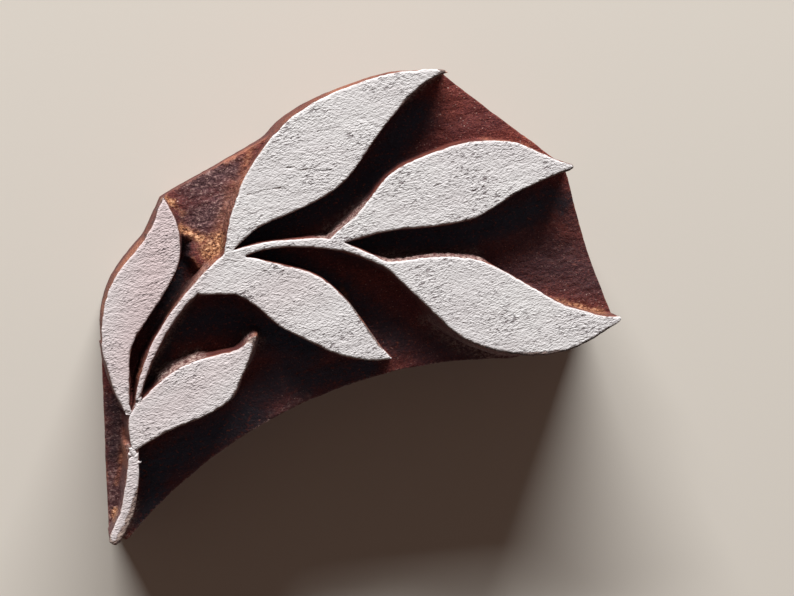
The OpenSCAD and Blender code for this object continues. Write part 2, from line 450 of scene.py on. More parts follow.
# Where the ground of the recesses that lie in shadow is painted nearly black, as painted shade
SHADE_PAINTED_LINES = [
    *lines_through(5, 1, (-6, 15.5), (21, 15), (38, 24.5)),
    ((12, 5), (38, -5), 5, 1),
    ((38, -5), (54, -6), 4.5, 1),
    ((57, -5), (59.5, -8), 3.5, 0.95),
    ((59.5, -8), (61, -13), 2.8, 0.6),
    ((38, -12), (60, -24), 8, 0.6),
    ((-5, 9), (6, -4), 4, 1),
    ((6, -4), (13.4, -19.6), 4.5, 0.9),
    ((13.4, -19.6), (28, -31), 4.5, 0.7),
    *lines_through(5, 1, (-33, 5), (-20, 2), (-6, -12)),
    ((-8, -14), (-24, -18), 5, 0.9),
    ((-49, -21.5), (-24, -20), 5.5, 1),
    ((-55, -31), (-47, -22), 4, 1),
    ((-41, -5), (-24, 11), 2.2, 1),
    ((-22.6, 17), (-31, 9.1), 2.1, 1),
    ((-31, 9.1), (-42.1, -1.5), 1.7, 1),
    ((-21.1, 21.5), (-21.9, 17), 1.5, 0.9),
    ((-12, -18), (4, -22), 3.6, 0.95),
    ((-49.4, -3.9), (-54.5, -14.5), 1.8, 0.5),
]

# Where the lower rim of the ground is painted pale, as a painted highlight on a rim that lies in shadow
PAINTED_RIM_HIGHLIGHT = lines_through(3, 1, (-58, -34), (-41.4, -26), (-10, -22.5), (31, -33))
# Stretches of the rim where the coat is worn off, as lines whose strength is the bare strip's width
WORN_RIMS = [
    ((42.4, -2.1), (61.7, -0.7), 1.3, 0.5),
    ((21.7, -20.5), (31.3, -31.8), 1.5, 0.6),
    ((31.3, -31.8), (43.9, -37.1), 1.5, 0.9),
    ((43.9, -37.1), (56, -36.7), 1.5, 0.4),
    ((-26.9, -13.7), (-17.7, -8.9), 1.3, 0.45),
    ((-17.7, -8.9), (-15.1, -6), 1.3, 0.7),
    ((-16.8, -4.4), (-15.4, -6), 0.9, 1),
    ((35.6, 28.2), (46, 30.2), 1.1, 0.8),
    ((45.8, 30.4), (47.2, 31.2), 1, 0.6),
    ((62.6, -0.3), (63.9, -1.6), 1, 0.5),
    ((25.7, 22), (30.2, 24.7), 1, 0.6),
    ((6.3, -3.4), (7.5, -17.4), 1.2, 0.4),
    ((-41.5, -14.8), (-30, -15), 1.2, 0.2),
    ((-54.4, -25), (-57.4, -28.6), 1.4, 1.6),
    ((-57.4, -28.6), (-61.5, -32), 1.4, 2.6),
    ((-64, -31), (-62.5, -32.6), 1, 1.3),
]


def light_wood(points):
    return near_lines(points, LIGHT_WOOD, fray=0.25)


def tones(points):
    """The named colour values of the wood at some points."""
    return {
        "light_wood": light_wood(points),
        "golden": near_lines(points, GOLDEN, crisp=3, fray=0.5),
        "dust": near_lines(points, DUSTY, fray=0.8),
        "pale": near_lines(points, PALE_FIBRES_AND_PAINTED_LIGHT, fray=0.3),
        "painted_shade": near_lines(points, SHADE_PAINTED_LINES, crisp=3, fray=0.9),
    }


# The carved block

# Spacing of the mesh along the sprig's outline, on the ground, on the printing face, sides and back
EDGE_STEP = 0.4
GROUND_STEP = 0.36
FACE_STEP = 0.8
SIDE_STEP = 0.9
SIDE_ROWS = 24
BACK_STEP = 2.0
# How often the sides and the sprig are evened out
SIDE_PASSES = 6
SPRIG_PASSES = 10
CORNER_PASSES = 3
# Marks on the block's surfaces: height, wavelength (one, or one for each axis), seed and octaves
GOUGE_WAVES = (0.16, 3.5, 11, 3)
GOUGE_RIDGES = (0.1, (2.4, 0.9, 1), 17, 2)
GROUND_GRIT = (0.08, 0.8, 23, 1)
SHALLOW_FRAY = (0.2, 1.2, 27, 2)
KNIFE_FACETS = (0.14, (2.6, 2.6, 9), 31, 1)
KNIFE_RIPPLES = (0.06, (0.9, 0.9, 1.6), 37, 2)
TORN_FIBRES = (0.26, (0.8, 0.8, 2.2), 39, 2)
SAW_LINES = (0.05, (0.9, 0.9, 12), 41, 1)
SAW_WAVES = (0.12, (9, 9, 7), 43, 1)
SIDE_FACETS = (0.1, (3.2, 3.2, 12), 45, 1)
SIDE_GRIT = (0.05, 1.4, 47, 1)
FACE_GRIT = (0.03, 0.8, 5, 1)
# How far below the ground the facets of the sides reach
FACET_REACH = 0.5
# How far the ground and the sides lie in, and torn fibres out, so that their marks stay inside the solid
GROUND_SINK = 0.05
SIDE_SINK = 0.2
FIBRE_LIFT = 0.1
# Flare of the cut walls at their foot, and how much of a gap to a wall or a side each wall may take
FLARE = 0.35
GAP_SHARE = 0.3
FREE_SHARE = 0.5
# How much more a wall may flare than its neighbours two points away
FLARE_STEP = 0.25
# Stretches with more flare at the foot, some of them torn: two ends, the added flare and how torn
ROUGH_WALLS = [
    ((17, -1), (37, -10), 0.7, 1),
    ((-38, -3), (-29, -3), 0.9, 1),
    ((-16, 14), (-43, -1), 0.7, 0.8),
    ((6, 9), (18, 11), 0.5, 0.8),
    ((20.5, -16), (36, -33.5), 1.3, 0),
    ((-4.5, 27.2), (-13.2, 17.9), 0.5, 0.7),
    ((-18.5, 29), (-24, 16), 0.3, 0),
    ((11, 6), (34, -2.5), 0.6, 0),
    ((-49.5, -7.3), (-56.2, -21), 0.8, 0),
    ((-15.8, -4.5), (-19, -9.5), 1.2, 0),
    ((-19, -9.5), (-26, -13.9), 0.7, 0),
]
ROUGH_REACH = 2
FLARED = [(a, b, ROUGH_REACH, flare) for a, b, flare, torn in ROUGH_WALLS]
TORN = [(a, b, ROUGH_REACH, torn) for a, b, flare, torn in ROUGH_WALLS]
# Heights of the rows down a cut wall, as shares of its height
WALL_ROWS = [0, 0.015, 0.04, 0.08, 0.13, 0.2, 0.28, 0.36, 0.45, 0.54, 0.63, 0.72, 0.81, 0.9, 1]
# How far the top edges are worn round, how much more for each millimetre of bare strip up to the widest
# that counts, and down to what share of the wall
EDGE_WEAR = 0.18
STRIP_WEAR = 0.3
WIDEST_STRIP = 1.5
WEAR_SHARE = 0.07
# How far up and how far in the back edges are worn round, and up to where they look worn
BACK_WEAR = 0.5
BACK_WEAR_IN = 0.3
BACK_EDGE = 1.2
# How far down the sides the light wood of the top fades out
LIGHT_FADE = 12
# How much chalk the printing face holds where the coat is gone, and down to what share of the wall
FACE_CHALK = 0.6
CHALK_SHARE = 0.02
# The worn colour of the edges: down to what share of the wall, on the printing face and at the back
EDGE_SHARE = 0.12
FACE_EDGE = 0.7
BACK_EDGE_TONE = 0.8
# From what share of the wall on its foot looks like the ground
FOOT_SHARE = 0.8
# How much light wood is left at the foot of a wall
FOOT_LIGHT = 0.6
# How far the foot of a flush wall and the rim of the ground lie below the ground
RIM_SINK = 0.1
# How far the saw leaned in under the block by the time it reached the back
UNDERCUT = 0.8
# How far the flush walls lean in above the ground by the time they reach the top, and where they do
DRAFT = 0.45
DRAFTED = lines_through(2.5, 1, (-23.5, 29.8), (-44, 14), (-48, 4))
DRAFTED += lines_through(2.5, 1, (2, 34.5), (12, 38), (30, 37.5), (40, 34.5))
# The leaf tips that stand on the block's sides are swelled and then rounded, so that they end bluntly
TIPS = [
    ((63.2, -0.5), (63.9, -0.5), 2.0, 0.5),
    ((46.4, 30.9), (46.9, 30.7), 2.0, 0.35),
    ((59, -35.8), (59.7, -35.8), 2.0, 0.35),
]
TIP_PASSES = 12
# A gap narrower than this has a ground that rises towards its end, up to so far below the printing face
NARROW = 2.2
NARROW_DEPTH = 1
NARROW_CURVE = 1.5
# The upper left recess is cut less deep, up to a step towards the stem
SHALLOW = [
    (-21, 24.8), (-18.4, 20.6), (-20.5, 17.2), (-20.4, 14.9), (-19.4, 13.2), (-18.4, 11.9),
    (-12, 15), (-2, 23), (8, 32), (8, 44), (-34, 44),
]
SHALLOW_RISE = 2.8
# The step's run, below the fork's facet and below the recess's lip, and where one passes into the other
STEP_RUNS = (1.8, 4.2)
LIP_FROM = (16.5, 20.5)
# The facet where the gouge ran out at the fork: its toe, uphill direction and rise to the millimetre
FACET_TOE = (-19.5, 19)
FACET_BEARING = -35
FACET_RISE = 0.2
FACET_LENGTH = 8


def ground_height(spots):
    """Height of the cut-away ground, with the marks of the gouge."""
    level = GROUND + marks(spots, GOUGE_WAVES) + marks(along_grain(spots), GOUGE_RIDGES)
    level += marks(spots, GROUND_GRIT) - GROUND_SINK
    shallow = np.array(SHALLOW)
    depth_in = np.where(inside(spots, shallow), 1, -1) * loop_distance(spots, shallow)
    frayed = depth_in + marks(spots, SHALLOW_FRAY)
    lip = smooth_step((spots[:, 1] - LIP_FROM[0]) / (LIP_FROM[1] - LIP_FROM[0]))
    run = STEP_RUNS[0] + (STEP_RUNS[1] - STEP_RUNS[0]) * lip
    level += SHALLOW_RISE * smooth_step(frayed / run + 1)
    uphill = math.radians(FACET_BEARING)
    ahead = (spots - np.array(FACET_TOE)) @ np.array([math.cos(uphill), math.sin(uphill)])
    return level + FACET_RISE * np.clip(ahead, 0, FACET_LENGTH) * smooth_step(frayed)


def wall_cut(points):
    """How far a cut wall stands out from its plain face: knife facets and torn fibres."""
    facets = marks(points, KNIFE_FACETS) + marks(points, KNIFE_RIPPLES)
    fibres = marks(points, TORN_FIBRES) + FIBRE_LIFT
    return facets + fibres * near_lines(points, TORN)


def side_cut(points):
    """How far a sawn side stands out from its plain face: below 0 nearly everywhere."""
    sawn = marks(points, SAW_LINES) + marks(points, SAW_WAVES)
    facets = marks(points, SIDE_FACETS) * (points[:, 2] > GROUND - FACET_REACH)
    return sawn + facets + marks(points, SIDE_GRIT) - SIDE_SINK


def raised_loops(side_outline):
    """The outlines of the raised wood, in short steps, and which of their points stand on the sides."""
    loops = [with_points_on(loop, side_outline) for loop in level_outlines("carved_block", WOOD_FACE)]
    loops = [divided(loop, EDGE_STEP) for loop in loops]
    return loops, [loop_distance(loop, side_outline) < TOUCH for loop in loops]


def wall_flare(loop, out, flush, gap, side):
    """How far the cut wall under each point of the loop flares out by its foot."""
    flare = np.minimum(FLARE + near_lines(loop, FLARED), GAP_SHARE * gap)
    free = np.where(flush, 0, FAR)
    free[~flush] = loop_distance(loop[~flush], side)
    flare = np.minimum(flare, FREE_SHARE * free)
    flare = np.minimum(flare, np.minimum(np.roll(flare, 2), np.roll(flare, -2)) + FLARE_STEP)
    return np.where(flush, 0, softened(flare, 2))


def add_wall(shell, loop, out, flush, flare, gap):
    """Adds the cut wall and the top face of one raised part, and returns the ring at the wall's foot."""
    rise = (WOOD_FACE - NARROW_DEPTH - GROUND) * np.clip(1 - gap / NARROW, 0, 1) ** NARROW_CURVE
    foot_heights = np.maximum(ground_height(loop + out * flare[:, None]), GROUND + softened(rise, 2))
    foot_heights = np.where(flush, ground_height(loop) - RIM_SINK, foot_heights)
    chamfer = EDGE_WEAR + STRIP_WEAR * np.minimum(near_lines(loop, WORN_RIMS), WIDEST_STRIP)
    draft = DRAFT * softened(flush.astype(float), 6) * near_lines(loop, DRAFTED, crisp=4)
    rows = []
    for share in WALL_ROWS:
        z = WOOD_FACE + (foot_heights - WOOD_FACE) * share
        inward = chamfer * max(0, 1 - share / WEAR_SHARE) ** 2 + draft * (1 - share)
        plain = np.column_stack([loop + out * (flare * share - inward)[:, None], z])
        # The marks of the knife grow from a quarter at the top edge to their full depth
        cut = np.where(flush, side_cut(plain), wall_cut(plain) * min(1, 0.25 + 2 * share))
        points = np.column_stack([untangled(plain[:, :2] + out * cut[:, None]), z])
        values = tones(points)
        values["light_wood"] *= 1 - (1 - FOOT_LIGHT) * share
        values["pale"] = np.maximum(values["pale"], FACE_CHALK * (share < CHALK_SHARE))
        # The painted shade grows from none at the wall's top edge to full at its foot
        values["painted_shade"] *= share
        values["golden"] *= share
        edge = max(0, 1 - share / EDGE_SHARE) * (1 - values["dust"])
        ground = max(0, share - FOOT_SHARE) / (1 - FOOT_SHARE) * ~flush
        rows.append(shell.ring(points, edge=edge, ground=ground, **values))
    shell.bands(rows)

    def top_height(spots, clear):
        values = tones(spots)
        values["pale"] = np.maximum(values["pale"], FACE_CHALK)
        return WOOD_FACE + marks(spots, FACE_GRIT), values

    grid = hex_grid(loop.min(0), loop.max(0), FACE_STEP, 1)
    shell.patch(rows[0], [], grid, top_height, FACE_STEP, edge=FACE_EDGE)
    return rows[-1]


def evened(side, loops, on_side):
    """The outlines of the sides and of the raised wood, evened out together.

    They stay one where the walls are flush. Also returns each loop's flush points and their partners.
    """
    shared = {tuple(np.round(p, 3)): i for i, p in enumerate(side)}
    partners = [np.array([shared.get(tuple(np.round(p, 3)), -1) for p in loop]) for loop in loops]
    on_side = [flush & (partner >= 0) for flush, partner in zip(on_side, partners)]
    side = softened(smoothed(side, SIDE_PASSES, sharp_corners(side)), 1)
    side += outward(side, 2) * near_lines(side, TIPS)[:, None]
    beyond_tips = near_lines(side, TIPS) < 0.1
    side = smoothed(side, TIP_PASSES, beyond_tips)
    for i, (flush, partner) in enumerate(zip(on_side, partners)):
        swelled = loops[i] + near_lines(loops[i], TIPS)[:, None] * outward(loops[i], 2)
        loops[i] = np.where(flush[:, None], side[partner], swelled)
        loops[i] = smoothed(loops[i], SPRIG_PASSES, flush | sharp_corners(loops[i]))
        loops[i] = smoothed(loops[i], CORNER_PASSES, flush)
    return side, loops, on_side, partners


def add_ground(shell, side, side_out, on_side, partners, feet):
    """Adds the ground between the walls' feet and the sides, and returns the ring at its outer rim."""
    placed = {}
    for flush, partner, foot in zip(on_side, partners, feet):
        placed.update({partner[i]: foot[i] for i in np.flatnonzero(flush)})
    fresh = np.array([i not in placed for i in range(len(side))])
    plain = np.column_stack([side[fresh], ground_height(side[fresh]) - RIM_SINK])
    points = plain.copy()
    points[:, :2] += side_out[fresh] * (side_cut(plain) - RIM_SINK)[:, None]
    values = tones(points)
    # The lower rim's painted highlight goes into its pale tone
    values["pale"] = np.maximum(values["pale"], near_lines(points, PAINTED_RIM_HIGHLIGHT))
    added = iter(shell.ring(points, edge=1.0, ground=0.5, **values))
    rim = np.array([next(added) if fresh[i] else placed[i] for i in range(len(side))])

    def floor_height(spots, clear):
        return ground_height(spots), tones(spots)

    grid = hex_grid(side.min(0), side.max(0), GROUND_STEP, 2)
    shell.patch(rim, feet, grid, floor_height, GROUND_STEP, ground=1.0)
    return rim


def add_sides(shell, side, side_out, rim):
    """Adds the plain sides from the ground's rim down to the worn edge of the back, and the back."""
    last = rim
    levels = np.linspace(GROUND, BACK + BACK_WEAR, SIDE_ROWS)[1:]
    middle_of_wear = BACK + 0.3 * BACK_WEAR
    for z in [*levels, middle_of_wear, BACK]:
        worn = BACK_WEAR_IN * max(0, 1 - (z - BACK) / BACK_WEAR) ** 2
        leaned = UNDERCUT * (GROUND - z) / (GROUND - BACK)
        plain = np.column_stack([side, np.full(len(side), z)])
        points = plain.copy()
        points[:, :2] += side_out * (side_cut(plain) - worn - leaned)[:, None]
        light = FOOT_LIGHT * light_wood(points) * max(0, 1 - (GROUND - z) / LIGHT_FADE)
        edge = BACK_EDGE_TONE * max(0, 1 - (z - BACK) / BACK_EDGE)
        row = shell.ring(points, edge=edge, light_wood=light)
        shell.band(last, row)
        last = row

    def back_height(spots, clear):
        return np.full(len(spots), BACK), {}

    grid = hex_grid(side.min(0), side.max(0), BACK_STEP, 3)
    shell.patch(last, [], grid, back_height, BACK_STEP, down=True)


def block_shell():
    """The carved block: the raised sprig, the ground, the sides and the back."""
    side_outline = level_outlines("carved_block", BACK)[0]
    loops, on_side = raised_loops(side_outline)
    meeting = np.concatenate([loop[flush] for loop, flush in zip(loops, on_side)])
    side = divided(with_points_on(side_outline, meeting), SIDE_STEP)
    side, loops, on_side, partners = evened(side, loops, on_side)

    shell = Shell(["edge", "ground", "light_wood", "golden", "dust", "pale", "painted_shade"])
    feet = []
    for loop, flush in zip(loops, on_side):
        out = outward(loop, 2)
        gap = np.min([ray_gap(loop, out, other) for other in loops], axis=0)
        flare = wall_flare(loop, out, flush, gap, side)
        feet.append(add_wall(shell, loop, out, flush, flare, gap))
    side_out = outward(side, 1)
    rim = add_ground(shell, side, side_out, on_side, partners, feet)
    add_sides(shell, side, side_out, rim)
    return shell


# The white ground coat

COAT_STEP = 0.24
# How often the coat's outline is evened out, first beside its corners and then all round
COAT_PASSES = 22
COAT_SOFTENING = 8
# Points of the coat's outline nearer than this to the sides stand on them
COAT_TOUCH = 0.05
# The coat's underside, just inside the wood, and the lowest that its rim comes above it
UNDERSIDE = WOOD_FACE - 0.1
RIM_FLOOR = WOOD_FACE - 0.09
# How far the coat's rim lies inside the wood's edge, at least and at most
NIBBLE = (0.03, 0.3)
# The rim's rows: how far in from the edge, and how far down, or none for the underside
RIM_ROWS = [(0.1, 0.02), (0.03, 0.12), (0.0, 0.28), (0.03, None)]
# How deep and how wide the coat's upper edge is rounded
ROUNDING = (0.09, 0.4)
# Marks on the coat: height, wavelength (one, or one for each axis), seed and octaves
NIBBLES = (0.55, 1.8, 53, 3)
COAT_WAVES = (0.03, (7, 3, 1), 61, 2)
BUSY_PARTS = (0.9, 5.5, 63, 1)
WRINKLES = (1, (1.3, 0.55, 1), 67, 2)
STRIP_FRAY = (0.5, 1.3, 83, 2)
CRACK_SWELLING = (1.5, 0.9, 89, 1)
# The wrinkles' height in the calm parts, what a busy part adds, and their bearing
WRINKLE_HEIGHTS = (0.01, 0.03)
WRINKLE_BEARING = -5
# How far the coat lies below the solid's face, and how far its waves may rise again
COAT_SINK = 0.07
HIGHEST_WAVE = 0.06
# A bare strip's depth, its soft edge, the least width that shows and how much wood shows in it
STRIP_DEPTH = 0.05
STRIP_EDGE = 0.1
LEAST_STRIP = 0.08
STRIP_TONE = 0.9
# Where the coat has taken up a pinkish tint
PINKISH = [
    ((-22, 28), (-42, 2), 9.0, 1.0),
    ((-46, -12), (-20, -5), 6.0, 0.5),
    ((-52, -18), (-62, -31), 4.0, 0.5),
    ((-36, 3), (-2, 2), 6.0, 0.3),
]
# Cracks through the coat, as routes
CRACKS = [
    [(6.0, 26.4), (7.5, 25.9), (8.6, 24.7), (10.7, 24.0), (12.3, 22.9), (14.6, 21.9)],
    [(-4.4, 24.8), (-2.9, 24.4), (-0.9, 24.3), (1.5, 23.5), (3.8, 22.5)],
    [(15.4, 30.7), (17.4, 30.3), (18.9, 30.0)],
]
# How wide and deep the cracks are, with their least, usual and greatest width as shares of that one
CRACK_WIDTH = 0.17
CRACK_WIDTHS = (0.05, 0.9, 1.8)
CRACK_DEPTH = 0.16
# The cracks' steps, how far those stray, and how far round a route and its points the mesh changes
CRACK_STEP = 0.25
CRACK_STRAY = 0.09
CRACK_MARGIN = 0.5
CRACK_CLEARANCE = 0.8
# Where the coat has crumbled: at the feet of the left leaf and of the stem, and above the stem's end
CRUMBLED = {
    "low_leaf_coat": [
        [(-48.5, -5.4), (-46.9, -5.2), (-47.0, -6.4), (-47.3, -7.6), (-48.2, -7.6), (-48.6, -6.9)],
        [
            (-44.9, -4.9), (-43.9, -5.3), (-45.1, -6.7), (-45.9, -7.7),
            (-47.0, -7.6), (-46.7, -6.7), (-45.6, -5.8),
        ],
        [(-51.0, -13.9), (-49.6, -14.7), (-49.6, -15.7), (-50.4, -16.8), (-51.9, -15.9), (-51.5, -14.8)],
    ],
    "stem_end_coat": [
        [(-51.8, -16.0), (-50.8, -16.9), (-49.9, -18.0), (-50.7, -18.0), (-51.3, -18.4), (-52.4, -17.3)],
    ],
}
CRUMBLE_STEP = 0.17
# How far the points of a crumbled patch stray
CRUMBLE_STRAY = 0.17
# Its lumps: their marks, how much of the patch they fill and how high they stand above the gaps
LUMPS = (1.0, 0.8, 71, 1)
SMALL_LUMPS = (0.45, 0.4, 73, 1)
LUMP_FILL = 0.58
LUMP_HEIGHT = 0.38
# How far up a lump the wood still shows, from 0 to 1, and how pinkish the coat is there
LUMP_BARE = 0.45
LUMP_PINK = 0.4
CRUMBLE_GAPS = WOOD_FACE - 0.04
# How far down the rows of its rim lie, and the lowest that they come
CRUMBLE_ROWS = (0.03, 0.15)
CRUMBLE_FLOOR = WOOD_FACE - 0.08
COAT_SEED = 100
CRUMBLE_SEED = 200


def crack_routes():
    """The cracks' routes, with a jagged point at every step."""
    random = np.random.default_rng(7)
    routes = []
    for route in CRACKS:
        corners = np.array(route)
        points = [corners[0]]
        for a, b in zip(corners, corners[1:]):
            count = math.ceil(np.linalg.norm(b - a) / CRACK_STEP)
            points.extend(a + (b - a) * i / count for i in range(1, count + 1))
        points = np.array(points)
        routes.append(points + random.uniform(-CRACK_STRAY, CRACK_STRAY, points.shape))
    return routes


CRACK_ROUTES = crack_routes()


def near_route(points, route):
    """Which points lie in the box round a route."""
    low, high = route.min(0) - CRACK_MARGIN, route.max(0) + CRACK_MARGIN
    return np.all((points >= low) & (points <= high), axis=1)


def crack_depth(spots):
    """How deep each spot lies in a crack, from 0 to 1, with stretches where the crack closes."""
    distance = np.full(len(spots), FAR)
    for route in CRACK_ROUTES:
        near = np.flatnonzero(near_route(spots, route))
        if len(near):
            reached = line_distances(spots[near], route[:-1], route[1:])[0].min(1)
            distance[near] = np.minimum(distance[near], reached)
    least, usual, most = CRACK_WIDTHS
    width = CRACK_WIDTH / 2 * np.clip(usual + marks(spots, CRACK_SWELLING), least, most)
    return np.clip(1 - distance / width, 0, 1)


def crack_grid(grid):
    """The grid with rows of points along the cracks in place of those next to them."""
    for route in CRACK_ROUTES:
        out = np.gradient(route, axis=0)
        out = np.stack([-out[:, 1], out[:, 0]], 1) / np.linalg.norm(out, axis=1)[:, None]
        rows = np.concatenate([route + out * shift for shift in (-CRACK_WIDTH / 2, 0, CRACK_WIDTH / 2)])
        near = near_route(grid, route)
        distance = line_distances(grid[near], route[:-1], route[1:])[0].min(1)
        near[near] = distance < CRACK_CLEARANCE * CRACK_WIDTH
        grid = np.concatenate([grid[~near], rows])
    return grid


def coat_height(spots, clear):
    """Height of the coat's upper face, and its named values."""
    waves = marks(along_grain(spots), COAT_WAVES)
    busy = smooth_step(0.5 + marks(spots, BUSY_PARTS))
    calm, added = WRINKLE_HEIGHTS
    wrinkles = (calm + added * busy) * marks(along_grain(spots, WRINKLE_BEARING), WRINKLES)
    rounded = ROUNDING[0] * np.clip(1 - clear / ROUNDING[1], 0, 1) ** 2
    strip = near_lines(spots, WORN_RIMS) * (1 + marks(spots, STRIP_FRAY))
    bare = np.clip((strip - clear) / STRIP_EDGE, 0, 1) * (strip > LEAST_STRIP)
    crack = crack_depth(spots)
    height = COAT_FACE - COAT_SINK + np.minimum(waves + wrinkles, HIGHEST_WAVE) - rounded
    height -= CRACK_DEPTH * crack + STRIP_DEPTH * bare
    return height, {"wear": np.maximum(crack, STRIP_TONE * bare), "pink": near_lines(spots, PINKISH)}


def under_height(spots, clear):
    return np.full(len(spots), UNDERSIDE), {}


def crumble_height(spots, clear):
    """Height of the crumbled coat, in lumps with gaps down to the wood, and its named values."""
    lumps = np.clip(LUMP_FILL + marks(spots, LUMPS) + marks(spots, SMALL_LUMPS), 0, 1)
    height = CRUMBLE_GAPS + LUMP_HEIGHT * smooth_step(lumps)
    return height, {"wear": 1 - smooth_step(lumps / LUMP_BARE), "pink": LUMP_PINK}


def add_crumble(shell, corners, seed):
    """A jagged, closed patch of crumbled coat that sits on the wood's face."""
    outline = divided(corners, 2 * CRUMBLE_STEP)
    outline += np.random.default_rng(seed).uniform(-CRUMBLE_STRAY, CRUMBLE_STRAY, outline.shape)
    outline = divided(outline, CRUMBLE_STEP)
    if signed_area(outline) < 0:
        outline = outline[::-1]
    heights, extra = crumble_height(outline, None)
    levels = [np.maximum(heights - drop, CRUMBLE_FLOOR) for drop in CRUMBLE_ROWS]
    levels.append(np.full(len(outline), UNDERSIDE))
    rows = [shell.ring(np.column_stack([outline, z]), **extra) for z in levels]
    shell.bands(rows)
    grid = hex_grid(outline.min(0), outline.max(0), CRUMBLE_STEP, seed)
    shell.patch(rows[0], [], grid, crumble_height, CRUMBLE_STEP)
    shell.patch(rows[-1], [], np.zeros((0, 2)), under_height, CRUMBLE_STEP, down=True)


def coat_shell(node, seed):
    """One piece of the coat: its nibbled rim, its two faces and the patches that crumbled from it."""
    outline = divided(level_outlines(node, COAT_FACE)[0], COAT_STEP)
    outline = softened(smoothed(outline, COAT_PASSES, sharp_corners(outline, 5)), COAT_SOFTENING)
    out = outward(outline, 2)
    wander = np.clip(0.4 + marks(outline, NIBBLES), 0, 1) ** 1.5
    on_side = loop_distance(outline, level_outlines("carved_block", BACK)[0]) < COAT_TOUCH
    flush = softened(on_side.astype(float), 12)
    inset = NIBBLE[0] + (NIBBLE[1] - NIBBLE[0]) * wander
    inset += DRAFT * flush * near_lines(outline, DRAFTED, crisp=4)
    inset -= near_lines(outline, TIPS)

    shell = Shell(["rim", "wear", "pink"])
    rows = []
    for inward, drop in RIM_ROWS:
        spots = outline - out * (inset + inward)[:, None]
        z, extra = coat_height(spots, np.zeros(len(spots)))
        z = np.full(len(z), UNDERSIDE) if drop is None else np.maximum(z - drop, RIM_FLOOR)
        rows.append(shell.ring(np.column_stack([spots, z]), rim=1.0, **extra))
    shell.bands(rows)
    grid = crack_grid(hex_grid(outline.min(0), outline.max(0), COAT_STEP, seed))
    shell.patch(rows[0], [], grid, coat_height, COAT_STEP)
    shell.patch(rows[-1], [], np.zeros((0, 2)), under_height, COAT_STEP, down=True)
    for i, corners in enumerate(CRUMBLED.get(node, [])):
        add_crumble(shell, np.array(corners), CRUMBLE_SEED + i)
    return shell


# Materials

# Tones of the wood: single colours, and ramps of places and colours
OILED_TONES = [
    (0.3, (0.05, 0.013, 0.011)), (0.5, (0.12, 0.03, 0.022)),
    (0.62, (0.19, 0.05, 0.03)), (0.75, (0.28, 0.09, 0.045)),
]
PORE_TONE = (0.035, 0.011, 0.01)
GROUND_TONES = [
    (0.28, (0.035, 0.008, 0.01)), (0.48, (0.14, 0.026, 0.021)),
    (0.6, (0.24, 0.052, 0.036)), (0.72, (0.38, 0.15, 0.11)),
]
GRIT_TONE = (0.42, 0.17, 0.08)
SHADE_TONE = (0.05, 0.016, 0.022)
DUST_TONES = [
    (0.38, (0.034, 0.015, 0.018)), (0.46, (0.075, 0.036, 0.039)), (0.52, (0.115, 0.058, 0.06)),
    (0.58, (0.18, 0.1, 0.097)), (0.67, (0.46, 0.3, 0.27)),
]
# The colour of the painted shade in the recesses
PAINTED_SHADE_TONE = (0.007, 0.008, 0.012)
SPECK_TONE = (0.55, 0.36, 0.3)
LIGHT_TONES = [(0.35, (0.17, 0.045, 0.026)), (0.5, (0.42, 0.15, 0.08)), (0.66, (0.62, 0.32, 0.2))]
PALE_TONES = [(0.36, (0.05, 0.018, 0.018)), (0.5, (0.2, 0.11, 0.1)), (0.6, (0.5, 0.38, 0.33))]
GOLDEN_TONES = [
    (0.36, (0.05, 0.018, 0.012)), (0.45, (0.22, 0.083, 0.04)),
    (0.53, (0.52, 0.235, 0.11)), (0.63, (1, 0.58, 0.34)),
]
# Tones of the coat, and of the wood under it where it is clean and where it is dusty
CHALK_TONES = ((0.68, 0.652, 0.655), (0.72, 0.705, 0.70))
PINK_TONE = (0.64, 0.53, 0.53)
MOTTLE_TONE = (0.55, 0.49, 0.49)
# The painted shade in the coat's pits
PIT_SHADE_TONE = (0.17, 0.13, 0.135)
RIM_TONE = (0.4, 0.3, 0.27)
CLEAN_BARE_TONES = [(0.4, (0.06, 0.035, 0.03)), (0.6, (0.19, 0.12, 0.1))]
DUSTY_BARE_TONES = [(0.4, (0.06, 0.033, 0.028)), (0.48, (0.22, 0.14, 0.115)), (0.6, (0.42, 0.32, 0.27))]
FLOOR_TONE = (0.67, 0.63, 0.565, 1)
# How deep the materials' fine relief looks, in millimetres
WOOD_BUMP = 0.3
CHALK_BUMP = 0.42


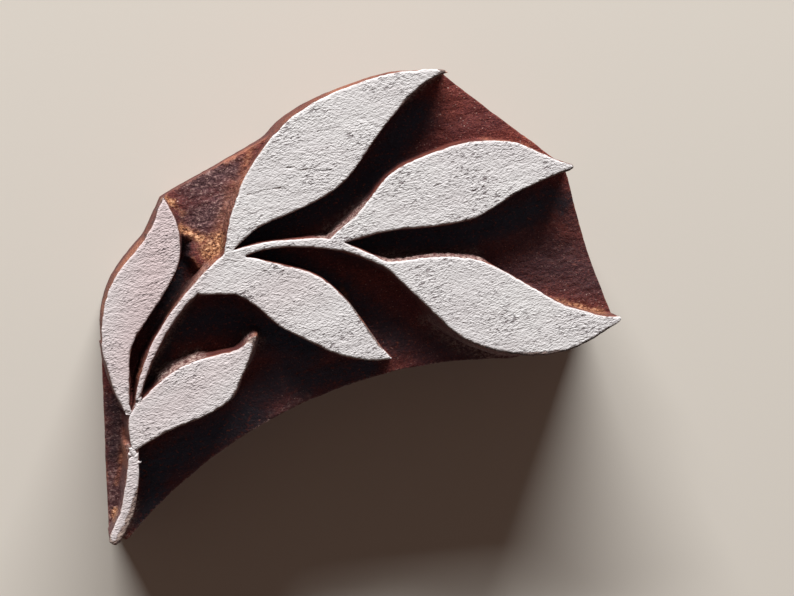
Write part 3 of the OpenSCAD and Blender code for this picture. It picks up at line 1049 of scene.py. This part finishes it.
class Nodes:
    """A short way to write a material."""

    def __init__(self, name):
        self.material = bpy.data.materials.new(name)
        self.material.use_nodes = True
        self.tree = self.material.node_tree
        self.tree.nodes.clear()

    def add(self, kind, inputs=(), **settings):
        node = self.tree.nodes.new("ShaderNode" + kind)
        for name, value in settings.items():
            setattr(node, name, value)
        for name, value in dict(inputs).items():
            if isinstance(value, bpy.types.NodeSocket):
                self.tree.links.new(value, node.inputs[name])
            else:
                node.inputs[name].default_value = value
        return node

    def math(self, operation, a, b, clamp=False):
        return self.add("Math", {0: a, 1: b}, operation=operation, use_clamp=clamp).outputs[0]

    def times(self, a, b, clamp=False):
        return self.math("MULTIPLY", a, b, clamp)

    def plus(self, a, b):
        return self.math("ADD", a, b)

    def attribute(self, name):
        return self.add("Attribute", attribute_name=name).outputs["Fac"]

    def grain_noise(self, stretch, scale, detail, roughness, distortion=0.0, bearing=GRAIN_TURN):
        """Noise stretched along the grain, with a scale in waves to the millimetre across it."""
        place = self.add("TexCoord").outputs["Object"]
        turn = (0, 0, -math.radians(bearing))
        turned = self.add("Mapping", {"Vector": place, "Rotation": turn}).outputs[0]
        waves = (scale / MM / stretch, scale / MM, scale / MM)
        scaled = self.add("Mapping", {"Vector": turned, "Scale": waves}).outputs[0]
        return self.add("TexNoise", {
            "Vector": scaled, "Scale": 1, "Detail": detail, "Roughness": roughness, "Distortion": distortion,
        }).outputs["Fac"]

    def ramp(self, factor, stops):
        node = self.add("ValToRGB", {"Fac": factor})
        points = node.color_ramp.elements
        while len(points) < len(stops):
            points.new(0.5)
        for point, (position, colour) in zip(points, stops):
            point.position = position
            point.color = (*colour, 1)
        return node.outputs["Color"]

    def level(self, factor, low, high):
        """0 up to the low value, 1 from the high value on."""
        return self.add("MapRange", {"Value": factor, "From Min": low, "From Max": high}).outputs[0]

    def mix(self, factor, a, b):
        node = self.add("Mix", data_type="RGBA")
        for socket, value in zip((node.inputs[0], node.inputs[6], node.inputs[7]), (factor, a, b)):
            if isinstance(value, bpy.types.NodeSocket):
                self.tree.links.new(value, socket)
            elif isinstance(value, tuple):
                socket.default_value = (*value, 1)
            else:
                socket.default_value = value
        return node.outputs[2]

    def bump(self, height, depth):
        return self.add("Bump", {"Height": height, "Distance": depth * MM}).outputs[0]

    def finish(self, colour, roughness, specular, normal=None):
        inputs = {"Base Color": colour, "Roughness": roughness, "Specular IOR Level": specular}
        if normal is not None:
            inputs["Normal"] = normal
        shader = self.add("BsdfPrincipled", inputs)
        self.tree.links.new(shader.outputs[0], self.add("OutputMaterial").inputs[0])
        return self.material


def hardwood():
    """Dark oiled hardwood, with pores, light edges and a duller, granular cut ground."""
    n = Nodes("oiled_hardwood")
    streaks = n.grain_noise(9, 0.6, 5, 0.6, distortion=0.4)
    fine = n.grain_noise(5, 3.2, 4, 0.65)
    speckle = n.grain_noise(1.4, 3.0, 3, 0.7)
    grains = n.grain_noise(1.3, 1.7, 3, 0.7)
    grit = n.grain_noise(1.3, 1.5, 3, 0.6)
    specks = n.grain_noise(1.1, 2.4, 1, 0.5)
    broad = n.grain_noise(2, 0.12, 3, 0.5)
    patches = n.grain_noise(3, 0.7, 4, 0.7)
    blotches = n.grain_noise(2, 0.9, 3, 0.6)
    ground = n.attribute("ground")
    painted_shade = n.attribute("painted_shade")

    # The oiled surface, and the cut ground with its grit
    base = n.mix(n.level(fine, 0.36, 0.5), PORE_TONE, n.ramp(streaks, OILED_TONES))
    gritty = n.times(n.level(grit, 0.66, 0.72), 0.4)
    ground_tone = n.mix(gritty, n.ramp(speckle, GROUND_TONES), GRIT_TONE)
    colour = n.mix(n.times(ground, 0.9), base, ground_tone)
    colour = n.mix(n.level(broad, 0.4, 0.62), n.mix(0.4, colour, SHADE_TONE), colour)

    # Dust, painted shade and pale specks
    colour = n.mix(n.attribute("dust"), colour, n.ramp(grains, DUST_TONES))
    # Painted shade: the grounds that lie in shadow are darkened nearly to black, broken up by the grit noise
    shade_amount = n.times(n.times(painted_shade, n.level(grit, 0.75, 0.55)), 0.95)
    colour = n.mix(shade_amount, colour, PAINTED_SHADE_TONE)
    seen = n.times(ground, n.math("SUBTRACT", 0.85, n.times(painted_shade, 0.75)))
    colour = n.mix(n.times(n.level(specks, 0.7, 0.76), seen), colour, SPECK_TONE)

    # Worn edges, light cuts, torn fibres with the painted light on shaded walls and rims, and golden places
    edge = n.times(n.attribute("edge"), n.level(patches, 0.42, 0.62))
    light = n.times(n.attribute("light_wood"), n.level(grains, 0.3, 0.52))
    light = n.times(light, n.plus(n.times(n.level(blotches, 0.36, 0.5), 0.5), 0.5))
    bare = n.math("MAXIMUM", n.times(edge, 0.5), light, clamp=True)
    colour = n.mix(bare, colour, n.ramp(fine, LIGHT_TONES))
    colour = n.mix(n.times(n.attribute("pale"), 0.9), colour, n.ramp(grains, PALE_TONES))
    golden = n.times(n.attribute("golden"), n.level(speckle, 0.25, 0.45))
    colour = n.mix(golden, colour, n.ramp(grains, GOLDEN_TONES))

    height = n.times(n.times(fine, n.math("SUBTRACT", 1.0, ground)), 0.5)
    height = n.plus(n.plus(height, n.times(speckle, 0.5)), grains)
    roughness = n.plus(n.times(n.level(streaks, -0.6, 1.0), 0.2), n.times(ground, 0.12))
    roughness = n.plus(roughness, 0.45)
    return n.finish(colour, roughness, 0.18, n.bump(height, WOOD_BUMP))


def chalk():
    """White ground, chalky and faintly pink, wrinkled along the grain, with pits painted dark as shade and
    with brush strokes.
    """
    n = Nodes("white_ground")
    broad = n.grain_noise(1.6, 0.06, 3, 0.5)
    mottle = n.grain_noise(2.5, 0.35, 4, 0.6)
    busy = n.level(n.grain_noise(1.5, 0.13, 2, 0.5), 0.4, 0.6)
    wrinkle = n.grain_noise(1.7, 2.8, 2, 0.5, 0.3, -6)
    pits = n.grain_noise(2.6, 1.9, 2, 0.5, 0.4, -3)
    strokes = n.grain_noise(9, 3.2, 2, 0.5, bearing=-44)
    powder = n.grain_noise(1.2, 6, 2, 0.6)
    pink = n.attribute("pink")

    colour = n.mix(n.level(broad, 0.35, 0.65), *CHALK_TONES)
    colour = n.mix(pink, colour, PINK_TONE)
    colour = n.mix(n.times(n.level(mottle, 0.46, 0.3), 0.2), colour, MOTTLE_TONE)
    # Painted shade: the pits are darkened in colour as well as lowered, more in the busy parts
    dark = n.times(n.level(pits, 0.41, 0.33), n.plus(n.times(busy, 0.75), 0.25))
    colour = n.mix(n.times(dark, 0.8), colour, PIT_SHADE_TONE)
    rim = n.times(n.attribute("rim"), n.level(mottle, 0.4, 0.6))
    colour = n.mix(n.times(rim, 0.35), colour, RIM_TONE)

    # The wood under the coat is dusty where the coat is pink
    dusty = n.times(pink, 2.0, clamp=True)
    bare_tone = n.mix(dusty, n.ramp(pits, CLEAN_BARE_TONES), n.ramp(pits, DUSTY_BARE_TONES))
    colour = n.mix(n.attribute("wear"), colour, bare_tone)

    height = n.math("SUBTRACT", n.times(wrinkle, 0.75), n.times(dark, 0.5))
    height = n.times(height, n.plus(n.times(busy, 0.5), 0.6))
    height = n.plus(n.plus(height, n.times(strokes, 0.2)), n.times(powder, 0.12))
    return n.finish(colour, 0.92, 0.15, n.bump(height, CHALK_BUMP))


def plain_floor_material():
    return Nodes("pale_floor").finish(FLOOR_TONE, 0.9, 0.1)


# Floor, light and camera

# The camera's place and the point it looks at, with the direction that is up in the picture
CAMERA_PLACE = (-37.6, 56.0, 560)
LOOK_AT = (15.9, -9.8, 32)
PICTURE_UP = (0.4226, 0.9063, 0)
LENS = 110.2
SENSOR = 36
# The floor's side, and how far it lies below the block's back, in metres
FLOOR_SIZE = 3.0
FLOOR_GAP = 0.00005
# The window-like lamp: its bearing from the X axis, height above the horizon, distance and size in metres
LIGHT_BEARING = 69
LIGHT_HEIGHT = 24
LIGHT_DISTANCE = 2.4
LIGHT_SIZE = (2.1, 0.36)
LIGHT_LEVEL = 1.0
# The room's light on the object, and its colour where the background shows or is mirrored
FILL = (0.085, 0.057, 0.046, 1)
BACKGROUND = (0.6, 0.66, 0.75, 1)


def floor():
    mesh = bpy.data.meshes.new("floor")
    half = FLOOR_SIZE / 2
    corners = [(-half, -half, 0), (half, -half, 0), (half, half, 0), (-half, half, 0)]
    mesh.from_pydata(corners, [], [(0, 1, 2, 3)])
    mesh.materials.append(plain_floor_material())
    made = linked("floor", mesh)
    made.location.z = -FLOOR_GAP


def lamp():
    bearing, height = math.radians(LIGHT_BEARING), math.radians(LIGHT_HEIGHT)
    level = math.cos(height)
    back = Vector((math.cos(bearing) * level, math.sin(bearing) * level, math.sin(height)))
    data = bpy.data.lights.new("window", "AREA")
    data.shape = "RECTANGLE"
    data.size, data.size_y = LIGHT_SIZE
    # This power gives a flat surface the light level at which its colour renders as written
    data.energy = LIGHT_LEVEL * math.pi ** 2 * LIGHT_DISTANCE ** 2 / math.sin(height)
    made = linked("window", data)
    made.location = back * LIGHT_DISTANCE
    made.rotation_mode = "QUATERNION"
    made.rotation_quaternion = back.to_track_quat("Z", "Y")
    made.visible_camera = False


def fill():
    """The room's dim light, behind which the background shows."""
    world = bpy.data.worlds.new("room")
    world.use_nodes = True
    tree = world.node_tree
    rays = tree.nodes.new("ShaderNodeLightPath")
    seen = rays.outputs["Is Camera Ray"]
    for kind in ("Is Glossy Ray", "Is Transmission Ray"):
        either = tree.nodes.new("ShaderNodeMath")
        either.operation = "MAXIMUM"
        tree.links.new(seen, either.inputs[0])
        tree.links.new(rays.outputs[kind], either.inputs[1])
        seen = either.outputs[0]
    colour = tree.nodes.new("ShaderNodeMix")
    colour.data_type = "RGBA"
    tree.links.new(seen, colour.inputs[0])
    colour.inputs[6].default_value = FILL
    colour.inputs[7].default_value = BACKGROUND
    tree.links.new(colour.outputs[2], tree.nodes["Background"].inputs["Color"])
    bpy.context.scene.world = world


def camera():
    data = bpy.data.cameras.new("camera")
    data.lens = LENS
    data.sensor_width = SENSOR
    made = linked("camera", data)
    place, target = Vector(CAMERA_PLACE) * MM, Vector(LOOK_AT) * MM
    back = (place - target).normalized()
    right = Vector(PICTURE_UP).cross(back).normalized()
    up = back.cross(right)
    made.matrix_world = Matrix([[right[i], up[i], back[i], place[i]] for i in range(3)] + [[0, 0, 0, 1]])
    bpy.context.scene.camera = made


def add_piece(name, shell, material, node):
    """Makes a shell's object, which rides on the one body and stands for a node of the solids."""
    made = shell.made(name, material)
    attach(made, "root")
    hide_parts(node)


wood = hardwood()
white = chalk()
add_piece("block", block_shell(), wood, "carved_block")
for seed, node in enumerate(["sprig_coat", "left_leaf_coat", "low_leaf_coat", "stem_end_coat"]):
    add_piece(node + "_film", coat_shell(node, COAT_SEED + seed), white, node)

floor()
lamp()
fill()
camera()
bpy.context.scene.view_settings.view_transform = "Standard"
